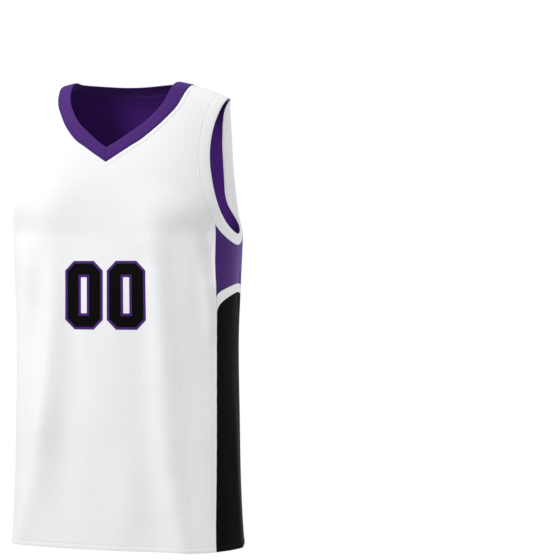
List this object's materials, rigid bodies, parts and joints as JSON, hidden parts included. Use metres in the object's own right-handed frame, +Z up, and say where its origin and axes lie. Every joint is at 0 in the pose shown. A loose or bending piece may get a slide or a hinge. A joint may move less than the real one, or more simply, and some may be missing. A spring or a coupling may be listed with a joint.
{
  "type": "basketball jersey",
  "caption": "Hollow sleeveless basketball jersey with a V neck, banded armholes and curved side stripes, filled out as worn.",
  "frame": {"origin": "middle of the shoulder line, where the wearer's shoulders carry the straps", "axes": "+Z up, -Y out of the front of the garment, +X to the wearer's left"},
  "size_m": [0.3987, 0.197, 0.7594],
  "materials": {
    "white_mesh": "fine white eyelet mesh with a soft sheen",
    "purple_mesh": "purple knit of the inserts, lighter where it turns away",
    "neckband_knit": "purple folded knit band with a stitched edge",
    "inner_mesh": "deep purple mesh of the inner layer",
    "black_mesh": "black knit with a low sheen",
    "white_band": "white folded knit band"
  },
  "bodies": {
    "root": {"front_panel": "white_mesh", "back_panel": "white_mesh", "lining_front": "inner_mesh", "lining_back": "inner_mesh", "neckband": "neckband_knit", "side_insert_left": "purple_mesh", "side_arc_left": "white_band", "side_panel_left": "black_mesh", "lining_side_left": "inner_mesh", "armhole_band_left": "white_band", "side_insert_right": "purple_mesh", "side_arc_right": "white_band", "side_panel_right": "black_mesh", "lining_side_right": "inner_mesh", "armhole_band_right": "white_band"}
  },
  "joints": []
}
